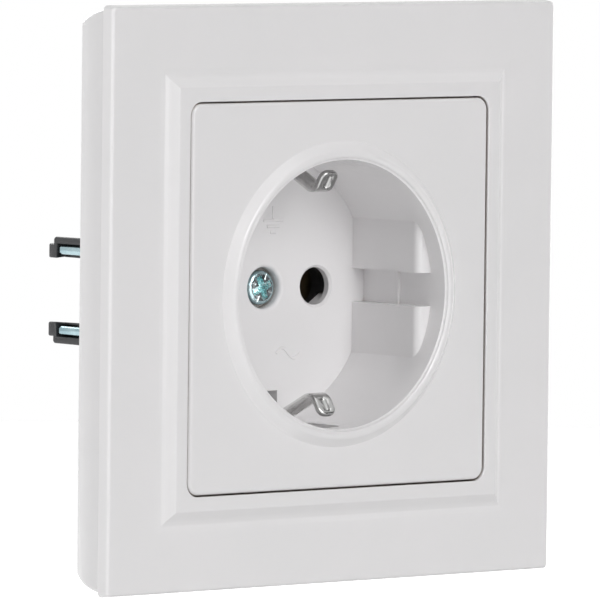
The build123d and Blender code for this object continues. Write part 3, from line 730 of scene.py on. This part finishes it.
def buildFrame():
    values = frameValues
    form = bmesh.new()
    form.from_mesh(nodes["cover_frame"].data)
    form.transform(Matrix.Scale(1 / mm, 4))
    bmesh.ops.remove_doubles(form, verts=form.verts, dist=weldReach)
    bmesh.ops.delete(form, geom=[face for face in form.faces if isEdgeFace(face)], context="FACES")
    opened = [edge for edge in form.edges if edge.is_boundary]
    band = values["side"] - values["edgeBand"]
    outer = walkLoop([edge for edge in opened if min(squareReach(vert) for vert in edge.verts) > band])
    inner = [edge for edge in opened if max(squareReach(vert) for vert in edge.verts) < band]
    # the rim keeps its top, its foot follows the plate forward
    share = (values["plate"] - values["rimTop"]) / (values["oldPlate"] - values["rimTop"])
    spread = 1 + values["footSpread"] / values["rimFoot"]
    for vert in form.verts:
        if vert.co.y < values["oldPlate"] + values["near"]:
            if squareReach(vert) > values["rimFoot"] - values["near"]:
                vert.co.x *= spread
                vert.co.z *= spread
            vert.co.y = values["rimTop"] + (vert.co.y - values["rimTop"]) * share
    ring = outer
    for inset, level in edgeProfile():
        after = []
        for vert in outer:
            side = outwardSide(vert)
            after.append(form.verts.new((vert.co.x - side.x * inset, level, vert.co.z - side.z * inset)))
        for k in range(len(ring)):
            beside = (k + 1) % len(ring)
            form.faces.new((ring[k], ring[beside], after[beside], after[k]))
        ring = after
    front = [form.edges.get((ring[k], ring[(k + 1) % len(ring)])) for k in range(len(ring))]
    bmesh.ops.triangle_fill(form, edges=front + inner, use_beauty=True, normal=(0, -1, 0))
    bmesh.ops.recalc_face_normals(form, faces=form.faces)
    form.transform(Matrix.Scale(mm, 4))
    piece = placeForm("cover_frame_edged", form)
    softenMesh(piece.data, values["softAngle"])
    # mitre lines of the rim stay sharp, and the large flats keep their own normals
    for edge in piece.data.edges:
        ends = [piece.data.vertices[k].co / mm for k in edge.vertices]
        mitred = all(abs(abs(end.x) - abs(end.z)) < values["near"] for end in ends)
        if mitred and max(end.y for end in ends) < values["plate"] + values["near"]:
            edge.use_edge_sharp = True
    flats = piece.modifiers.new("flats", "WEIGHTED_NORMAL")
    flats.keep_sharp = True
    flats.weight = values["flatWeight"]
    piece.data.materials.append(finishes["white_plastic"])
    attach(piece, "root")
    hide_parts("cover_frame")
    print("frame edge built with", len(piece.data.polygons), "faces")


buildFrame()


# Raised signs on the floor of the recess

signValues = {
    "floorLevel": 6.0, "rise": 0.14, "sink": 0.03, "stroke": 0.46, "draft": 0.7,
    "earthPlace": (1.4, 9.6), "earthStem": 2.0, "earthBars": (3.6, 2.3, 1.0), "barStep": 0.85,
    "wavePlace": (4.4, -9.4), "waveLength": 4.4, "waveHeight": 0.75, "waveSteps": 28, "softAngle": 30,
}


def addRibbon(form, path):
    # moulded stroke along points in X and Z, narrower at its top
    half = signValues["stroke"] / 2
    low = signValues["floorLevel"] + signValues["sink"]
    high = signValues["floorLevel"] - signValues["rise"]
    draft = signValues["draft"]
    sections = []
    for k, (x, z) in enumerate(path):
        before = Vector(path[max(k - 1, 0)])
        after = Vector(path[min(k + 1, len(path) - 1)])
        along = (after - before).normalized()
        side = Vector((-along.y, along.x))
        ring = []
        for level, share in ((low, -1), (high, -draft), (high, draft), (low, 1)):
            across, up = x + side.x * half * share, z + side.y * half * share
            ring.append(form.verts.new((mm * across, mm * level, mm * up)))
        sections.append(ring)
    form.faces.new(sections[0])
    form.faces.new(sections[-1][::-1])
    for near, far in zip(sections, sections[1:]):
        for k in range(4):
            form.faces.new((near[k], near[(k + 1) % 4], far[(k + 1) % 4], far[k]))


def buildSigns():
    form = bmesh.new()
    x, z = signValues["earthPlace"]
    half = signValues["stroke"] / 2
    addRibbon(form, [(x, z + half), (x, z + signValues["earthStem"])])
    for k, width in enumerate(signValues["earthBars"]):
        level = z - k * signValues["barStep"]
        addRibbon(form, [(x - width / 2, level), (x + width / 2, level)])
    x, z = signValues["wavePlace"]
    wave = []
    for k in range(signValues["waveSteps"] + 1):
        share = k / signValues["waveSteps"]
        across = x + (share - 0.5) * signValues["waveLength"]
        wave.append((across, z + signValues["waveHeight"] * math.sin(2 * math.pi * share)))
    addRibbon(form, wave)
    bmesh.ops.recalc_face_normals(form, faces=form.faces)
    signs = placeForm("floor_signs", form)
    softenMesh(signs.data, signValues["softAngle"])
    signs.data.materials.append(finishes["white_plastic"])
    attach(signs, "root")


buildSigns()
print("floor signs built")


# Stage, lights and camera

stageValues = {
    "floorDrop": 0.16, "floorRadius": 2.4, "floorSides": 96, "floorColor": (0.9, 0.9, 0.9, 1),
    "floorRoughness": 0.9, "floorLift": 0.86, "ambient": 0.045,
}


def buildFloor():
    form = bmesh.new()
    bmesh.ops.create_circle(form, cap_ends=True, segments=stageValues["floorSides"],
                            radius=stageValues["floorRadius"])
    floor = placeForm("floor", form)
    floor.location = (0, 0, cadLow.z - stageValues["floorDrop"])
    finish, tree, shader = newFinish("paleFloor")
    shader.inputs["Base Color"].default_value = stageValues["floorColor"]
    shader.inputs["Roughness"].default_value = stageValues["floorRoughness"]
    shader.inputs["Emission Color"].default_value = (1, 1, 1, 1)
    path = addNode(tree, "ShaderNodeLightPath")
    seen = addNode(tree, "ShaderNodeMath", operation="MAXIMUM")
    lift = addNode(tree, "ShaderNodeMath", {1: stageValues["floorLift"]}, operation="MULTIPLY")
    tree.links.new(path.outputs["Is Camera Ray"], seen.inputs[0])
    tree.links.new(path.outputs["Is Glossy Ray"], seen.inputs[1])
    tree.links.new(seen.outputs[0], lift.inputs[0])
    tree.links.new(lift.outputs[0], shader.inputs["Emission Strength"])
    floor.data.materials.append(finish)


flagValues = {
    "rightFlag": {"place": (1.3, -1.3, 0.2), "facing": (-1.3, 1.3, -0.2), "size": (1.3, 1.5), "tone": 0.04},
    "lowFlag": {"place": (0.35, -0.15, -0.197), "facing": (0, 0, 1), "size": (0.6, 0.6), "tone": 0.5},
}


def buildFlag(name, values):
    # dark board that only reflections see, so bright metal gets its contrast
    form = bmesh.new()
    bmesh.ops.create_grid(form, x_segments=1, y_segments=1, size=0.5)
    flag = placeForm(name, form)
    flag.location = values["place"]
    flag.scale = (*values["size"], 1)
    flag.rotation_euler = Vector(values["facing"]).to_track_quat("Z", "Y").to_euler()
    flag.visible_camera = False
    flag.visible_diffuse = False
    flag.visible_shadow = False
    finish, _, shader = newFinish(name)
    shader.inputs["Base Color"].default_value = (*[values["tone"]] * 3, 1)
    shader.inputs["Roughness"].default_value = 1.0
    shader.inputs["Specular IOR Level"].default_value = 0.0
    flag.data.materials.append(finish)


def buildWorld():
    world = bpy.data.worlds.new("studio")
    bpy.context.scene.world = world
    world.use_nodes = True
    tree = world.node_tree
    sky = tree.nodes["Background"]
    sky.inputs["Color"].default_value = (1, 1, 1, 1)
    path = addNode(tree, "ShaderNodeLightPath")
    seen = addNode(tree, "ShaderNodeMath", operation="MAXIMUM")
    clear = addNode(tree, "ShaderNodeMath", operation="MAXIMUM")
    level = addNode(tree, "ShaderNodeMapRange", {"To Min": stageValues["ambient"], "To Max": 1.0})
    tree.links.new(path.outputs["Is Camera Ray"], seen.inputs[0])
    tree.links.new(path.outputs["Is Glossy Ray"], seen.inputs[1])
    tree.links.new(seen.outputs[0], clear.inputs[0])
    tree.links.new(path.outputs["Is Transmission Ray"], clear.inputs[1])
    tree.links.new(clear.outputs[0], level.inputs["Value"])
    tree.links.new(level.outputs[0], sky.inputs["Strength"])


lampValues = {
    "frontHigh": {"place": (-0.12, -1.5, 0.83), "size": 0.8, "power": 8.05},
    "frontLow": {"place": (-0.1, -1.7, 0.3), "size": 0.8, "power": 5.2},
    "frontLeft": {"place": (-0.7, -1.4, 0.8), "size": 0.8, "power": 2.4},
    "topSoft": {"place": (-0.1, -0.5, 1.5), "size": 1.0, "power": 3.1},
    "leftSide": {"place": (-1.6, 0.25, 0.35), "size": 1.0, "power": 11.0},
    "rightSide": {"place": (1.6, 0.35, 0.3), "size": 1.0, "power": 8.4},
    "backSoft": {"place": (0.3, 1.6, 0.6), "size": 1.0, "power": 12.0},
}


def buildLamps():
    for name, values in lampValues.items():
        light = bpy.data.lights.new(name, "AREA")
        light.size = values["size"]
        light.energy = values["power"]
        lamp = bpy.data.objects.new(name, light)
        lamp.location = values["place"]
        lamp.rotation_euler = (-lamp.location).to_track_quat("-Z", "Y").to_euler()    # aimed at the origin
        bpy.context.scene.collection.objects.link(lamp)


cameraValues = {
    "lens": 538.85, "sensor": 36.0, "clip": (0.05, 50), "place": (-0.81943, -0.96938, 0.07741),
    "right": (0.76353, -0.64566, 0.0115), "up": (0.03123, 0.05471, 0.99801),
    "back": (-0.64501, -0.76165, 0.06193),
}


def buildCamera():
    data = bpy.data.cameras.new("photoCamera")
    data.lens = cameraValues["lens"]
    data.sensor_width = cameraValues["sensor"]
    data.clip_start, data.clip_end = cameraValues["clip"]
    camera = bpy.data.objects.new("photoCamera", data)
    axes = Matrix([cameraValues[name] for name in ("right", "up", "back")]).transposed()
    camera.matrix_world = Matrix.Translation(cameraValues["place"]) @ axes.to_4x4()
    bpy.context.scene.collection.objects.link(camera)
    bpy.context.scene.camera = camera


buildFloor()
for name, values in flagValues.items():
    buildFlag(name, values)
buildWorld()
buildLamps()
buildCamera()
bpy.context.scene.view_settings.view_transform = "Standard"
print("stage, lamps and camera set")
